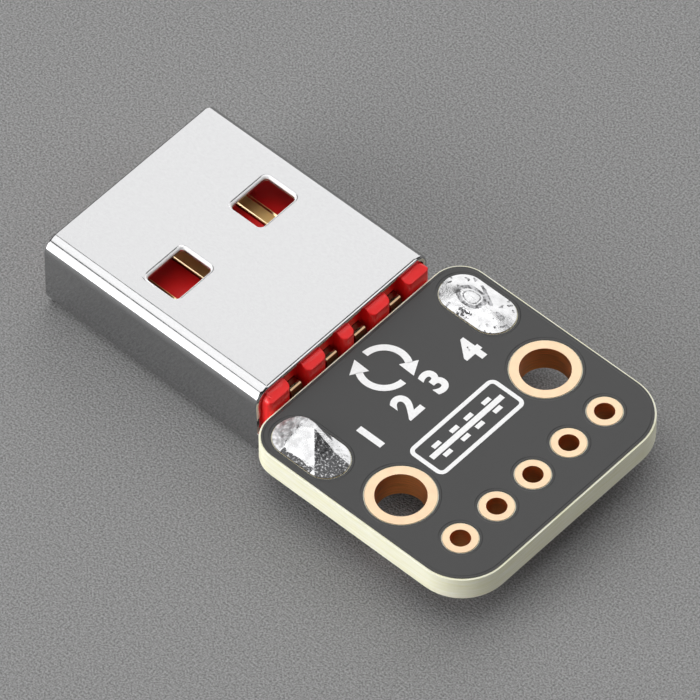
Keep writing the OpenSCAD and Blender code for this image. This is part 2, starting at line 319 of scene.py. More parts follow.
def dress_faces(piece: Piece, material: bpy.types.Material, test: Callable[[Vector, Vector], bool]) -> None:
    """Give some faces of a mounted piece a finish of their own.

    Args:
        piece: the piece, in metres.
        material: finish of those faces.
        test: takes the middle of a face, in millimetres, and its normal.
    """
    piece.data.materials.append(material)
    last = len(piece.data.materials) - 1
    for face in piece.data.polygons:
        if test(face.center / MM, face.normal):
            face.material_index = last


def box_mm(node: str) -> tuple[Vector, Vector]:
    """Corners of a CAD node in millimetres.

    Args:
        node: name of the CAD node.

    Returns:
        The lowest and the highest corner.
    """
    low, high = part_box(node)
    return low / MM, high / MM


def middle_mm(node: str) -> Vector:
    """Middle of a CAD node's box in millimetres."""
    low, high = box_mm(node)
    return (low + high) / 2


# Finishes

@dataclass(frozen=True)
class Glow:
    """Light that sinks into a plastic and comes out beside, with its depth in millimetres."""

    weight: float
    depth: float
    reach: Colour


class Wiring:
    """Node tree of one material while it is wired."""

    def __init__(self, name: str) -> None:
        """Start a material with a lone principled shader.

        Args:
            name: name of the material.
        """
        self.material = bpy.data.materials.new(name)
        self.material.use_nodes = True
        self.nodes = self.material.node_tree.nodes
        self.links = self.material.node_tree.links
        self.shader = next(n for n in self.nodes if n.type == "BSDF_PRINCIPLED")

    def set(self, values: dict[str, object]) -> None:
        """Set constant values on the shader's own sockets.

        Args:
            values: socket names and their values.
        """
        for name, value in values.items():
            self.shader.inputs[name].default_value = value

    def metal(self) -> None:
        """Make the shader a bare metal."""
        self.set({"Metallic": 1.0})

    def sink(self, glow: Glow) -> None:
        """Let light sink into the shader.

        Args:
            glow: how much of it, and how far.
        """
        self.set({
            "Subsurface Weight": glow.weight, "Subsurface Scale": glow.depth * MM,
            "Subsurface Radius": glow.reach,
        })

    def feed(self, name: str, source: Socket) -> None:
        """Link a pattern to one of the shader's sockets.

        Args:
            name: socket of the shader.
            source: output of another node.
        """
        self.links.new(source, self.shader.inputs[name])

    def pattern(self, size: float, octaves: Octaves, stretch: Point = (1, 1, 1)) -> Socket:
        """Noise on object coordinates.

        Args:
            size: width of a feature in millimetres.
            octaves: layers of finer noise.
            stretch: how much longer a feature is along each axis.

        Returns:
            A value from 0 to 1, about 0.5 in the middle.
        """
        coords = self.nodes.new("ShaderNodeTexCoord")
        mapping = self.nodes.new("ShaderNodeMapping")
        mapping.inputs["Scale"].default_value = [1 / (MM * size * k) for k in stretch]
        texture = self.nodes.new("ShaderNodeTexNoise")
        texture.inputs["Scale"].default_value = 1
        texture.inputs["Detail"].default_value = octaves.value
        self.links.new(coords.outputs["Object"], mapping.inputs["Vector"])
        self.links.new(mapping.outputs["Vector"], texture.inputs["Vector"])
        return texture.outputs["Fac"]

    def spread(self, source: Socket, low: float, high: float, band: float = 0.22) -> Socket:
        """Stretch the middle of a pattern over a range of values.

        Args:
            source: pattern from 0 to 1.
            low: value at the bottom of the band.
            high: value at the top of the band.
            band: half of the band's width.

        Returns:
            The stretched value.
        """
        remap = self.nodes.new("ShaderNodeMapRange")
        remap.inputs["From Min"].default_value = PATTERN_MIDDLE - band
        remap.inputs["From Max"].default_value = PATTERN_MIDDLE + band
        remap.inputs["To Min"].default_value = low
        remap.inputs["To Max"].default_value = high
        self.links.new(source, remap.inputs["Value"])
        return remap.outputs["Result"]

    def tint(self, source: Socket, dark: Colour, light: Colour, band: float = 0.2,
             middle: float = PATTERN_MIDDLE) -> Socket:
        """Run a pattern between two colours.

        Args:
            source: pattern from 0 to 1.
            dark: colour at the bottom of the band.
            light: colour at the top of the band.
            band: half of the band's width.
            middle: value of the pattern in the middle of the band.

        Returns:
            The colour.
        """
        ramp = self.nodes.new("ShaderNodeValToRGB")
        first, last = ramp.color_ramp.elements
        first.position, last.position = middle - band, middle + band
        first.color, last.color = (*dark, 1), (*light, 1)
        self.links.new(source, ramp.inputs["Fac"])
        return ramp.outputs["Color"]

    def relief(self, source: Socket, depth: float, below: Socket | None = None) -> Socket:
        """Turn a pattern into surface relief.

        Args:
            source: pattern from 0 to 1.
            depth: height of the relief in millimetres.
            below: normal of a relief that this one is laid over.

        Returns:
            The normal.
        """
        bump = self.nodes.new("ShaderNodeBump")
        bump.inputs["Distance"].default_value = depth * MM
        self.links.new(source, bump.inputs["Height"])
        if below:
            self.links.new(below, bump.inputs["Normal"])
        return bump.outputs["Normal"]

    def mottle(self, source: Socket, colour: Colour, darkest: float, lightest: float = 1.0) -> None:
        """Feed the shader a colour that a pattern makes darker and lighter.

        Args:
            source: pattern from 0 to 1.
            colour: colour of the finish.
            darkest: factor on the colour at the bottom of the pattern.
            lightest: factor on the colour at the top of the pattern.
        """
        self.feed("Base Color", self.tint(source, shade(colour, darkest), shade(colour, lightest)))

    def polish(self, source: Socket, low: float, high: float) -> None:
        """Feed the shader a roughness that follows a pattern.

        Args:
            source: pattern from 0 to 1.
            low: roughness at the bottom of the pattern.
            high: roughness at the top of the pattern.
        """
        self.feed("Roughness", self.spread(source, low, high))

    def emboss(self, source: Socket, depth: float, below: Socket | None = None) -> None:
        """Feed the shader the relief of a pattern.

        Args:
            source: pattern from 0 to 1.
            depth: height of the relief in millimetres.
            below: normal of a relief that this one is laid over.
        """
        self.feed("Normal", self.relief(source, depth, below))


def shade(colour: Colour, factor: float) -> Colour:
    """A colour made lighter or darker by a factor."""
    return tuple(min(1.0, c * factor) for c in colour)


class Finish(ABC):
    """Look of one material."""

    name: str

    def material(self) -> bpy.types.Material:
        """Make the material.

        Returns:
            The wired material.
        """
        wiring = Wiring(self.name)
        self.wire(wiring)
        return wiring.material

    @abstractmethod
    def wire(self, wiring: Wiring) -> None:
        """Wire the patterns of the finish.

        Args:
            wiring: node tree of the new material.
        """


@cache
def wired(finish: Finish) -> bpy.types.Material:
    """The material of a finish, made once for all the pieces that wear it."""
    return finish.material()


@dataclass(frozen=True)
class PlatedSteel(Finish):
    """Satin plating on folded sheet, with a fine grain drawn out along the plug."""

    name: str = "plated_steel"
    colour: Colour = (0.46, 0.46, 0.465)
    darkest: float = 0.94
    smoothest: float = 0.08
    roughest: float = 0.13
    grain: float = 0.08
    grain_depth: float = 0.0003
    grain_length: float = 2.0

    def wire(self, wiring: Wiring) -> None:
        """Draw the grain along the plug.

        Args:
            wiring: node tree of the new material.
        """
        wiring.metal()
        grain = wiring.pattern(self.grain, Octaves.FEW, (self.grain_length, 1, 1))
        wiring.mottle(grain, self.colour, self.darkest)
        wiring.polish(grain, self.smoothest, self.roughest)
        wiring.emboss(grain, self.grain_depth)


@dataclass(frozen=True)
class PressedRim(Finish):
    """Rounding that the punch drew round a window, painted a soft near-white that stands in for its bright
    reflection.
    """

    name: str = "rim_painted_highlight"
    # near-white colour and little metal: painted highlight of the window rims
    colour: Colour = (0.92, 0.92, 0.92)
    darkest: float = 0.9
    metallic: float = 0.2
    roughness: float = 0.4
    mark: float = 0.06
    mark_depth: float = 0.003

    def wire(self, wiring: Wiring) -> None:
        """Leave the marks of the punch.

        Args:
            wiring: node tree of the new material.
        """
        wiring.set({"Metallic": self.metallic, "Roughness": self.roughness})
        marks = wiring.pattern(self.mark, Octaves.FEW)
        wiring.mottle(marks, self.colour, self.darkest)
        wiring.emboss(marks, self.mark_depth)


@dataclass(frozen=True)
class MouldedNylon(Finish):
    """Red moulded plastic with a satin skin."""

    name: str = "red_moulding"
    colour: Colour = (1.0, 0.016, 0.016)
    darkest: float = 0.9
    smoothest: float = 0.28
    roughest: float = 0.4
    cloud: float = 1.4
    skin: float = 0.11
    skin_depth: float = 0.004
    ior: float = 1.53
    glow: Glow = Glow(0.25, 0.25, (1.0, 0.1, 0.08))

    def wire(self, wiring: Wiring) -> None:
        """Cloud the plastic and lay its skin.

        Args:
            wiring: node tree of the new material.
        """
        wiring.set({"IOR": self.ior})
        wiring.sink(self.glow)
        skin = wiring.pattern(self.skin, Octaves.SOME)
        wiring.mottle(wiring.pattern(self.cloud, Octaves.SOME), self.colour, self.darkest)
        wiring.polish(skin, self.smoothest, self.roughest)
        wiring.emboss(skin, self.skin_depth)


@dataclass(frozen=True)
class GoldFlash(Finish):
    """Thin gold over a metal."""

    name: str
    colour: Colour
    smoothest: float
    roughest: float
    grain: float = 0.1
    grain_depth: float = 0.0015
    grain_width: float = 1.0
    cloud: float = 0.5
    darkest: float = 0.9

    def wire(self, wiring: Wiring) -> None:
        """Cloud the gold and lay its grain.

        Args:
            wiring: node tree of the new material.
        """
        wiring.metal()
        cloud = wiring.pattern(self.cloud, Octaves.SOME)
        wiring.mottle(cloud, self.colour, self.darkest)
        wiring.polish(cloud, self.smoothest, self.roughest)
        wiring.emboss(wiring.pattern(self.grain, Octaves.FEW, (1, self.grain_width, 1)), self.grain_depth)


CONTACT_GOLD = GoldFlash("contact_gold", (1.0, 0.68, 0.28), smoothest=0.5, roughest=0.62,
                         grain=0.05, grain_depth=0.006, grain_width=6.0)
# paler, smoother gold on the strips' edges and flanks: the polish is real, the paler colour is a painted
# highlight
EDGE_GOLD_HIGHLIGHT = GoldFlash("edge_gold_highlight", (1.0, 0.78, 0.45), smoothest=0.1, roughest=0.18, grain_depth=0.0005)
# dark, polished gold for the leads behind the moulding: the dark colour is painted shade of the gap they
# stand in
SHADED_LEAD_GOLD = GoldFlash("lead_gold_painted_shade", (0.3, 0.2, 0.12), smoothest=0.05, roughest=0.1, grain_depth=0.0005)
PAD_GOLD = GoldFlash("pad_gold", (0.74, 0.55, 0.37), smoothest=0.28, roughest=0.4)


@dataclass(frozen=True)
class PlatedBore(Finish):
    """Copper-red plating in a drilled hole, with rings from the drill."""

    name: str = "bore_plating"
    colour: Colour = (0.95, 0.36, 0.11)
    darkest: float = 0.75
    smoothest: float = 0.32
    roughest: float = 0.5
    ring: float = 0.08
    ring_depth: float = 0.006
    ring_length: float = 12.0

    def wire(self, wiring: Wiring) -> None:
        """Cut the rings of the drill.

        Args:
            wiring: node tree of the new material.
        """
        wiring.metal()
        rings = wiring.pattern(self.ring, Octaves.FEW, (self.ring_length, self.ring_length, 1))
        wiring.mottle(rings, self.colour, self.darkest)
        wiring.polish(rings, self.smoothest, self.roughest)
        wiring.emboss(rings, self.ring_depth)


@dataclass(frozen=True)
class GlassEpoxy(Finish):
    """Cut edge of glass cloth in epoxy: fine plies with marks of the cutter across them."""

    name: str = "glass_epoxy"
    colour: Colour = (0.95, 0.94, 0.79)
    ply_colour: Colour = (0.87, 0.85, 0.6)
    roughness: float = 0.58
    ply: float = 0.11
    ply_length: float = 16.0
    ply_depth: float = 0.006
    cut: float = 0.12
    cut_length: float = 7.0
    cut_depth: float = 0.004
    glow: Glow = Glow(0.15, 0.3, (1.0, 0.95, 0.6))

    def wire(self, wiring: Wiring) -> None:
        """Stack the plies and mark them with the cutter.

        Args:
            wiring: node tree of the new material.
        """
        wiring.set({"Roughness": self.roughness})
        wiring.sink(self.glow)
        plies = wiring.pattern(self.ply, Octaves.SOME, (self.ply_length, self.ply_length, 1))
        cuts = wiring.pattern(self.cut, Octaves.FEW, (1, 1, self.cut_length))
        wiring.feed("Base Color", wiring.tint(plies, self.ply_colour, self.colour))
        wiring.emboss(cuts, self.cut_depth, wiring.relief(plies, self.ply_depth))


@dataclass(frozen=True)
class MattMask(Finish):
    """Matt black solder mask with a faint orange peel."""

    name: str = "black_mask"
    colour: Colour = (0.027, 0.027, 0.027)
    darkest: float = 0.85
    smoothest: float = 0.36
    roughest: float = 0.46
    cloud: float = 1.8
    peel: float = 0.22
    peel_depth: float = 0.0012

    def wire(self, wiring: Wiring) -> None:
        """Cloud the coat and lay its peel.

        Args:
            wiring: node tree of the new material.
        """
        cloud = wiring.pattern(self.cloud, Octaves.MANY)
        wiring.mottle(cloud, self.colour, self.darkest)
        wiring.polish(cloud, self.smoothest, self.roughest)
        wiring.emboss(wiring.pattern(self.peel, Octaves.SOME), self.peel_depth)


@dataclass(frozen=True)
class TinSolder(Finish):
    """Bright solder, frosted in patches."""

    name: str = "tin_solder"
    colour: Colour = (0.56, 0.56, 0.565)
    darkest: float = 0.82
    smoothest: float = 0.1
    roughest: float = 0.34
    patch: float = 0.5
    frost: float = 0.07
    frost_depth: float = 0.006

    def wire(self, wiring: Wiring) -> None:
        """Frost the darker patches.

        Args:
            wiring: node tree of the new material.
        """
        wiring.metal()
        patches = wiring.pattern(self.patch, Octaves.MANY)
        wiring.mottle(patches, self.colour, self.darkest)
        wiring.polish(patches, self.roughest, self.smoothest)
        wiring.emboss(wiring.pattern(self.frost, Octaves.SOME), self.frost_depth)


@dataclass(frozen=True)
class DullSolder(Finish):
    """Solder that froze while it moved: dark between lighter grains, and on some patches the dark is painted
    shade as well.
    """

    name: str
    dark: Colour
    light: Colour
    grain: float
    grain_level: float
    roughness: float
    grain_edge: float = 0.12
    grain_depth: float = 0.012

    def wire(self, wiring: Wiring) -> None:
        """Strew the grains.

        Args:
            wiring: node tree of the new material.
        """
        wiring.metal()
        wiring.set({"Roughness": self.roughness})
        grain = wiring.pattern(self.grain, Octaves.SOME)
        colours = wiring.tint(grain, self.dark, self.light, self.grain_edge, self.grain_level)
        wiring.feed("Base Color", colours)
        wiring.emboss(grain, self.grain_depth)


# near-black between light grains: real grain, with painted shade on the steep slope and in the pits
GRAINY_SHADED_SOLDER = DullSolder("grainy_solder_painted_shade", (0.07, 0.07, 0.072), (0.6, 0.6, 0.61),
                           grain=0.1, grain_level=0.644, roughness=0.3)
FROSTED_SOLDER = DullSolder("frosted_solder", (0.36, 0.36, 0.365), (0.8, 0.8, 0.81),
                            grain=0.24, grain_level=0.5, roughness=0.55)
# dark between grey grains: frozen wrinkles, with painted shade along the ring and the fold
WRINKLED_SHADED_SOLDER = DullSolder("wrinkled_solder_painted_shade", (0.1, 0.1, 0.102), (0.46, 0.46, 0.47),
                             grain=0.2, grain_level=0.52, roughness=0.48)


@dataclass(frozen=True)
class WhiteInk(Finish):
    """Screen printing ink."""

    name: str = "white_ink"
    colour: Colour = (0.86, 0.86, 0.86)
    darkest: float = 0.92
    roughness: float = 0.55
    weave: float = 0.12
    weave_depth: float = 0.002

    def wire(self, wiring: Wiring) -> None:
        """Leave the weave of the screen.

        Args:
            wiring: node tree of the new material.
        """
        wiring.set({"Roughness": self.roughness})
        weave = wiring.pattern(self.weave, Octaves.FEW)
        wiring.mottle(weave, self.colour, self.darkest)
        wiring.emboss(weave, self.weave_depth)


@dataclass(frozen=True)
class PaleFloor(Finish):
    """Pale table top with a fine, leathery grain."""

    name: str = "pale_floor"
    colour: Colour = (0.225, 0.225, 0.225)
    darkest: float = 0.55
    lightest: float = 1.45
    roughness: float = 0.7
    grain: float = 0.1
    grain_depth: float = 0.05

    def wire(self, wiring: Wiring) -> None:
        """Lay the grain.

        Args:
            wiring: node tree of the new material.
        """
        wiring.set({"Roughness": self.roughness})
        grain = wiring.pattern(self.grain, Octaves.FEW)
        wiring.mottle(grain, self.colour, self.darkest, self.lightest)
        wiring.emboss(grain, self.grain_depth)


# Sub-assemblies

@dataclass
class PlugShell:
    """Folded shell of the plug, with the cut edges of its sheet broken."""

    node: str = "plug_shell"
    closed_l: float = 13.8
    bend_r: float = 0.85
    sheet_t: float = 0.3
    edge_r: float = 0.04
    mouth_r: float = 0.1
    rear_r: float = 0.14
    window_r: float = 0.17
    window_margin: float = 1.0
    rear_zone: float = 0.8
    wall_cosine: float = 0.1
    finish: Finish = PlatedSteel()
    rim_finish: Finish = PressedRim()

    def build(self) -> Piece:
        """Model the shell and dress it.

        Returns:
            The mounted shell.
        """
        piece = bench_copy(self.node, "folded_shell")
        low, high = box_mm(self.node)
        middle_z = (low.z + high.z) / 2
        half_h = high.z - middle_z
        rear_x = low.x + self.closed_l
        self.split_bends(piece, rear_x - self.rear_zone)
        round_some(piece, lambda p: p.x < low.x + MERGE_DISTANCE, self.mouth_r)
        round_some(piece, lambda p: abs(p.x - rear_x) < MERGE_DISTANCE and p.z > middle_z
                   and self.on_outside(p), self.rear_r)
        round_some(piece, lambda p: self.by_window(p) and abs(p.z - middle_z) > half_h - MERGE_DISTANCE,
                   self.window_r)
        round_edges(piece, self.edge_r)
        smooth(piece)
        mount(piece, wired(self.finish), "shell", self.node)
        # the windows' roundings get a painted highlight in near-white
        dress_faces(piece, wired(self.rim_finish), lambda middle, normal: self.by_window(middle)
                    and self.wall_cosine < abs(normal.z) < FLAT_COSINE)
        return piece

    def split_bends(self, piece: Piece, x: float) -> None:
        """Cut the long faces across, so that the shading of the rear end stays at the rear end.

        Args:
            piece: the shell on the bench.
            x: place of the cut, in millimetres.
        """
        pick_all(piece)
        bpy.ops.mesh.bisect(plane_co=(x, 0, 0), plane_no=(1, 0, 0))
        leave_mesh()

    def on_outside(self, point: Vector) -> bool:
        """Tell whether a point is on the outer face of the sheet, in the upper half of the shell.

        Args:
            point: on the shell, in millimetres.

        Returns:
            True on the outer face.
        """
        high = box_mm(self.node)[1]
        margin = self.sheet_t - MERGE_DISTANCE
        return point.z > high.z - margin or abs(point.y) > high.y - margin

    def by_window(self, point: Vector) -> bool:
        """Tell whether a point, if on an edge or an upright face of the shell, is on a window's cut.

        Args:
            point: on the shell, in millimetres.

        Returns:
            True by a window.
        """
        low, high = box_mm(self.node)
        return (abs(point.y) < high.y - self.bend_r and abs(point.y) > self.window_margin
                and low.x + self.window_margin < point.x < low.x + self.closed_l - self.window_margin)


@dataclass
class Insulator:
    """Red moulding with the tongue and the rear teeth."""

    node: str = "insulator"
    tooth_depth: float = 0.6
    tooth_r: float = 0.06
    edge_r: float = 0.02
    finish: Finish = MouldedNylon()

    def build(self) -> Piece:
        """Model the moulding and dress it.

        Returns:
            The mounted moulding.
        """
        piece = bench_copy(self.node, "red_insulator")
        tooth_start = box_mm(self.node)[1].x - self.tooth_depth
        round_some(piece, lambda p: p.x > tooth_start, self.tooth_r)
        round_edges(piece, self.edge_r, FEW_SEGMENTS)
        smooth(piece)
        return mount(piece, wired(self.finish), "insulator", self.node)


@dataclass
class Contacts:
    """Two rows of stamped contacts."""

    ways: int = 4
    edge_r: float = 0.05
    tip_taper: float = 0.5
    coin_margin: float = 0.12
    coin_depth: float = 0.06
    smooth_angle: float = math.radians(20)
    finish: Finish = CONTACT_GOLD
    edge_finish: Finish = EDGE_GOLD_HIGHLIGHT
    lead_finish: Finish = SHADED_LEAD_GOLD

    def build(self) -> list[Piece]:
        """Model every contact and dress it.

        Returns:
            The mounted contacts, the upper row first.
        """
        block_x = middle_mm("insulator").x
        pieces = []
        for row in Row:
            for way in range(1, self.ways + 1):
                node = f"{row.value}_contact_{way}"
                piece = bench_copy(node, f"{row.value}_strip_{way}")
                strip_start = box_mm(node)[0].x + self.tip_taper - MERGE_DISTANCE
                self.coin(piece, row.outward, strip_start, block_x)
                round_some(piece, lambda p: p.x > strip_start, self.edge_r)
                smooth(piece, self.smooth_angle)
                pieces.append(mount(piece, wired(self.finish), "contact", node))
                # edges and flanks of each strip: painted highlight in paler gold
                dress_faces(piece, wired(self.edge_finish),
                            lambda middle, normal: abs(normal.z) < FLAT_COSINE)
                # leads behind the moulding: painted shade in dark gold
                dress_faces(piece, wired(self.lead_finish), lambda middle, normal: middle.x > block_x)
        return pieces

    def coin(self, piece: Piece, outward: int, start_x: float, end_x: float) -> None:
        """Press the wiped face of a strip down between its edges.

        Args:
            piece: the contact on the bench.
            outward: 1 for a contact above the tongue, -1 for one below it.
            start_x: where the face may start, in millimetres.
            end_x: where its middle may at most be, in millimetres.
        """
        pick(piece, Pick.FACES, lambda f: f.normal.z * outward > FLAT_COSINE
             and start_x < f.center.x < end_x)
        bpy.ops.mesh.inset(thickness=self.coin_margin, depth=-self.coin_depth)
        leave_mesh()


@dataclass
class Board:
    """Laminate with a coat of mask on both faces, plated holes and lead pads."""

    header_ways: int = 5
    lead_ways: int = 4
    laminate_r: float = 0.04
    pad_r: float = 0.02
    step_inset: float = 0.11
    step_run: float = 0.04
    step_rise: float = 0.02
    step_angle: float = math.radians(15)
    wall_cosine: float = 0.5
    laminate_finish: Finish = GlassEpoxy()
    mask_finish: Finish = MattMask()
    pad_finish: Finish = PAD_GOLD
    bore_finish: Finish = PlatedBore()

    def build(self) -> list[Piece]:
        """Model the board's pieces and dress them."""
        return [self.laminate(), *self.coats(), *self.plating()]

    def laminate(self) -> Piece:
        """Model the bare laminate.

        Returns:
            The mounted laminate.
        """
        piece = bench_copy("laminate", "glass_laminate")
        round_edges(piece, self.laminate_r, FEW_SEGMENTS)
        smooth(piece)
        return mount(piece, wired(self.laminate_finish), "laminate", "laminate")

    def coats(self) -> list[Piece]:
        """Model both coats of mask, each raised over the copper inside its edges.

        Returns:
            The mounted coats.
        """
        pieces = []
        for coat in Coat:
            node = f"{coat.value}_solder_mask"
            piece = bench_copy(node, f"{coat.value}_mask")
            pick(piece, Pick.FACES, lambda f: f.normal.z * coat.outward > FLAT_COSINE)
            bpy.ops.mesh.inset(thickness=self.step_inset, use_even_offset=True)
            bpy.ops.mesh.inset(thickness=self.step_run, depth=self.step_rise, use_even_offset=True)
            leave_mesh()
            smooth(piece, self.step_angle)
            pieces.append(mount(piece, wired(self.mask_finish), "mask", node))
        return pieces

    def plating(self) -> list[Piece]:
        """Model the plated holes and the lead pads.

        Returns:
            The mounted platings.
        """
        nodes = [f"header_barrel_{way}" for way in range(1, self.header_ways + 1)]
        for side in Side:
            nodes += [f"mount_barrel_{side.value}", f"tab_barrel_{side.value}"]
        nodes += [f"lead_pad_{way}" for way in range(1, self.lead_ways + 1)]
        low, high = box_mm("laminate")
        pieces = []
        for node in nodes:
            piece = bench_copy(node, f"{node}_plating")
            round_edges(piece, self.pad_r, FEW_SEGMENTS)
            smooth(piece)
            pieces.append(mount(piece, wired(self.pad_finish), "pad", node))
            dress_faces(piece, wired(self.bore_finish), lambda middle, normal: low.z < middle.z < high.z
                        and abs(normal.z) < self.wall_cosine)
        return pieces


def blend_max(first: float, second: float, blend: float) -> float:
    """The larger of two heights, with a soft change from one to the other."""
    return (first + second + math.hypot(first - second, blend)) / 2


def blend_min(first: float, second: float, blend: float) -> float:
    """The smaller of two heights, with a soft change from one to the other."""
    return -blend_max(-first, -second, blend)


def bell(distance: float, spread: float) -> float:
    """A bell curve that is 1 at no distance."""
    return math.exp(-(distance / spread) ** 2)


def ease(value: float, start: float, end: float) -> float:
    """Soft step from 0 at the start to 1 at the end."""
    share = min(max((value - start) / (end - start), 0), 1)
    return share * share * (3 - 2 * share)


@dataclass(frozen=True)
class Ripple:
    """Even noise over a flat place, with features of a size in millimetres."""

    size: float
    height: float

    def at(self, u: float, v: float) -> float:
        """Noise at a place, at most the height up or down."""
        return self.height * noise.noise(Vector((u, v, 0)) / self.size)


@dataclass(frozen=True)
class Facet:
    """Plane slope of frozen solder, through a point over the pad."""

    u: float
    v: float
    height: float
    climb_u: float
    climb_v: float

    def at(self, u: float, v: float) -> float:
        """Height over a place on the pad, in millimetres."""
        return self.height + self.climb_u * (u - self.u) + self.climb_v * (v - self.v)


# Points of the steep joint: along, across and above its pad, in millimetres
PEAK: Point = (-0.36, 0.6, 0.66)
CREST: Point = (-0.36, 0.6, 0.64)
PLUG_END: Point = (-1.05, 0.1, 0.47)


@dataclass(frozen=True)
class Patch:
    """Part of a joint with a finish of its own."""

    finish: Finish
    covers: Callable[[float, float], bool]


@dataclass
class TabJoint(ABC):
    """Hand-made solder joint over a prong of the shell."""

    side: Side
    skin: float = 0.02
    columns: int = 140
    rows: int = 76
    smooth_angle: float = math.radians(70)
    finish: Finish = TinSolder()
    reach: float = field(init=False)
    half: float = field(init=False)

    def build(self) -> Piece:
        """Model the joint and dress it.

        Returns:
            The mounted joint.
        """
        node, pad = f"tab_solder_{self.side.value}", f"tab_barrel_{self.side.value}"
        (pad_low, pad_high), centre = box_mm(pad), middle_mm(pad)
        self.half = (pad_high.y - pad_low.y) / 2
        self.reach = (pad_high.x - pad_low.x) / 2 - self.half
        root = bench_copy(node, f"solder_root_{self.side.value}")
        bpy.ops.object.mode_set(mode="EDIT")
        bpy.ops.mesh.select_all(action="SELECT")
        bpy.ops.mesh.bisect(plane_co=(0, 0, pad_high.z), plane_no=(0, 0, 1), use_fill=True, clear_outer=True)
        leave_mesh()
        dome = self.dome()
        dome.location = (centre.x, centre.y, pad_high.z)
        work_on(dome)
        bpy.ops.object.transform_apply(location=True)
        smooth(dome, self.smooth_angle)
        piece = join([dome, root], f"solder_joint_{self.side.value}")
        mount(piece, wired(self.finish), "solder", node)
        for patch in self.patches():
            dress_faces(piece, wired(patch.finish), lambda middle, normal: middle.z > pad_high.z
                        and patch.covers(middle.x - centre.x, middle.y - centre.y))
        return piece

    def inside(self, u: float, v: float) -> float:
        """Distance of a place on the pad from the pad's edge, in millimetres."""
        return max(self.half - math.hypot(max(abs(u) - self.reach, 0), v), 0)

    def dome(self) -> Piece:
        """Model the solder above the pad, about the origin.

        Returns:
            The dome, on the bench.
        """
        clear_bench()
        bpy.ops.mesh.primitive_grid_add(x_subdivisions=self.columns, y_subdivisions=self.rows, size=2)
        piece = bpy.context.object
        for vertex in piece.data.vertices:
            x = math.sin(vertex.co.x * math.pi / 2) * (self.reach + self.half)
            past = min(max(abs(x) - self.reach, 0), self.half)
            vertex.co.x, vertex.co.y = x, vertex.co.y * math.sqrt(self.half ** 2 - past ** 2)
        pick_all(piece)
        bpy.ops.mesh.remove_doubles(threshold=MERGE_DISTANCE)
        bpy.ops.mesh.extrude_region_move(TRANSFORM_OT_translate={"value": (0, 0, self.skin)})
        bpy.ops.mesh.select_all(action="SELECT")
        bpy.ops.mesh.normals_make_consistent(inside=False)
        leave_mesh()
        for vertex in piece.data.vertices:
            if vertex.co.z > self.skin / 2:
                vertex.co.z = self.skin + self.height(vertex.co.x, vertex.co.y)
        pick(piece, Pick.FACES, lambda f: f.normal.z < -FLAT_COSINE)
        bpy.ops.mesh.dissolve_faces()
        leave_mesh()
        return piece

    @abstractmethod
    def height(self, u: float, v: float) -> float:
        """Height of the solder over the pad.

        Args:
            u: place along the pad from its middle, in millimetres.
            v: place across the pad from its middle, in millimetres.

        Returns:
            The height in millimetres.
        """

    @abstractmethod
    def patches(self) -> list[Patch]:
        """List the parts of the joint that froze dull."""


@dataclass
class SteepJoint(TabJoint):
    """Joint pulled up to a peak: smooth on the plug's side, grainy towards the header, where its dark is
    partly painted shade.
    """

    side: Side = Side.NEAR
    smooth_slope: Facet = Facet(*PEAK, climb_u=-0.04, climb_v=0.43)
    grainy_slope: Facet = Facet(*PEAK, climb_u=-0.41, climb_v=0.09)
    outer_slope: Facet = Facet(*PEAK, climb_u=-0.45, climb_v=-0.52)
    crest: Facet = Facet(*CREST, climb_u=0.14, climb_v=0.0)
    mottled_end: Facet = Facet(*PLUG_END, climb_u=0.4, climb_v=0.4)
    ridge: float = 0.03
    foot: float = 0.3
    foot_lead: float = 0.1
    rim: float = 0.24
    rim_wander: Ripple = Ripple(0.2, 0.5)
    end_wander: Ripple = Ripple(0.3, 0.09)
    tinned_h: float = 0.05
    tinning: Ripple = Ripple(0.16, 0.02)
    grains: tuple[Ripple, ...] = (Ripple(0.09, 0.015), Ripple(0.25, 0.02))
    mottle: tuple[Ripple, ...] = (Ripple(0.2, 0.02), Ripple(0.1, 0.012))

    def patches(self) -> list[Patch]:
        """List the mottled end, then the grainy slope with the near rim, whose dark grain is partly painted
        shade.
        """
        return [Patch(FROSTED_SOLDER, self.is_mottled), Patch(GRAINY_SHADED_SOLDER, self.is_grainy)]

    def is_grainy(self, u: float, v: float) -> bool:
        """Tell whether the grainy slope is the lowest at a place, or the rim towards the camera is there:
        the patch of grain and painted shade.

        Args:
            u: place along the pad from its middle, in millimetres.
            v: place across the pad from its middle, in millimetres.

        Returns:
            True on grainy solder with painted shade.
        """
        lowest = min((self.smooth_slope, self.grainy_slope, self.outer_slope), key=lambda f: f.at(u, v))
        on_rim = v < 0 and self.inside(u, v) < self.rim * (1 + self.rim_wander.at(u, v))
        return lowest is self.grainy_slope or on_rim and abs(u) < self.reach

    def is_mottled(self, u: float, v: float) -> bool:
        """Tell whether the end towards the plug is lower than the smooth slope at a place."""
        return self.mottled_end.at(u, v) < self.smooth_slope.at(u, v) + self.end_wander.at(u, v)

    def height(self, u: float, v: float) -> float:
        """Roof of slopes with a low crest, over a thin tinned level.

        Args:
            u: place along the pad from its middle, in millimetres.
            v: place across the pad from its middle, in millimetres.

        Returns:
            The height in millimetres.
        """
        roof = blend_min(self.smooth_slope.at(u, v), self.mottled_end.at(u, v), self.ridge)
        for slope in (self.grainy_slope, self.outer_slope, self.crest):
            roof = blend_min(roof, slope.at(u, v), self.ridge)
        tinned = self.tinned_h + self.tinning.at(u, v)
        if self.is_grainy(u, v):
            roof += sum(grain.at(u, v) for grain in self.grains)
        elif self.is_mottled(u, v):
            roof += sum(spot.at(u, v) for spot in self.mottle)
        return ease(self.inside(u, v), -self.foot_lead, self.foot) * blend_max(roof, tinned, self.ridge)


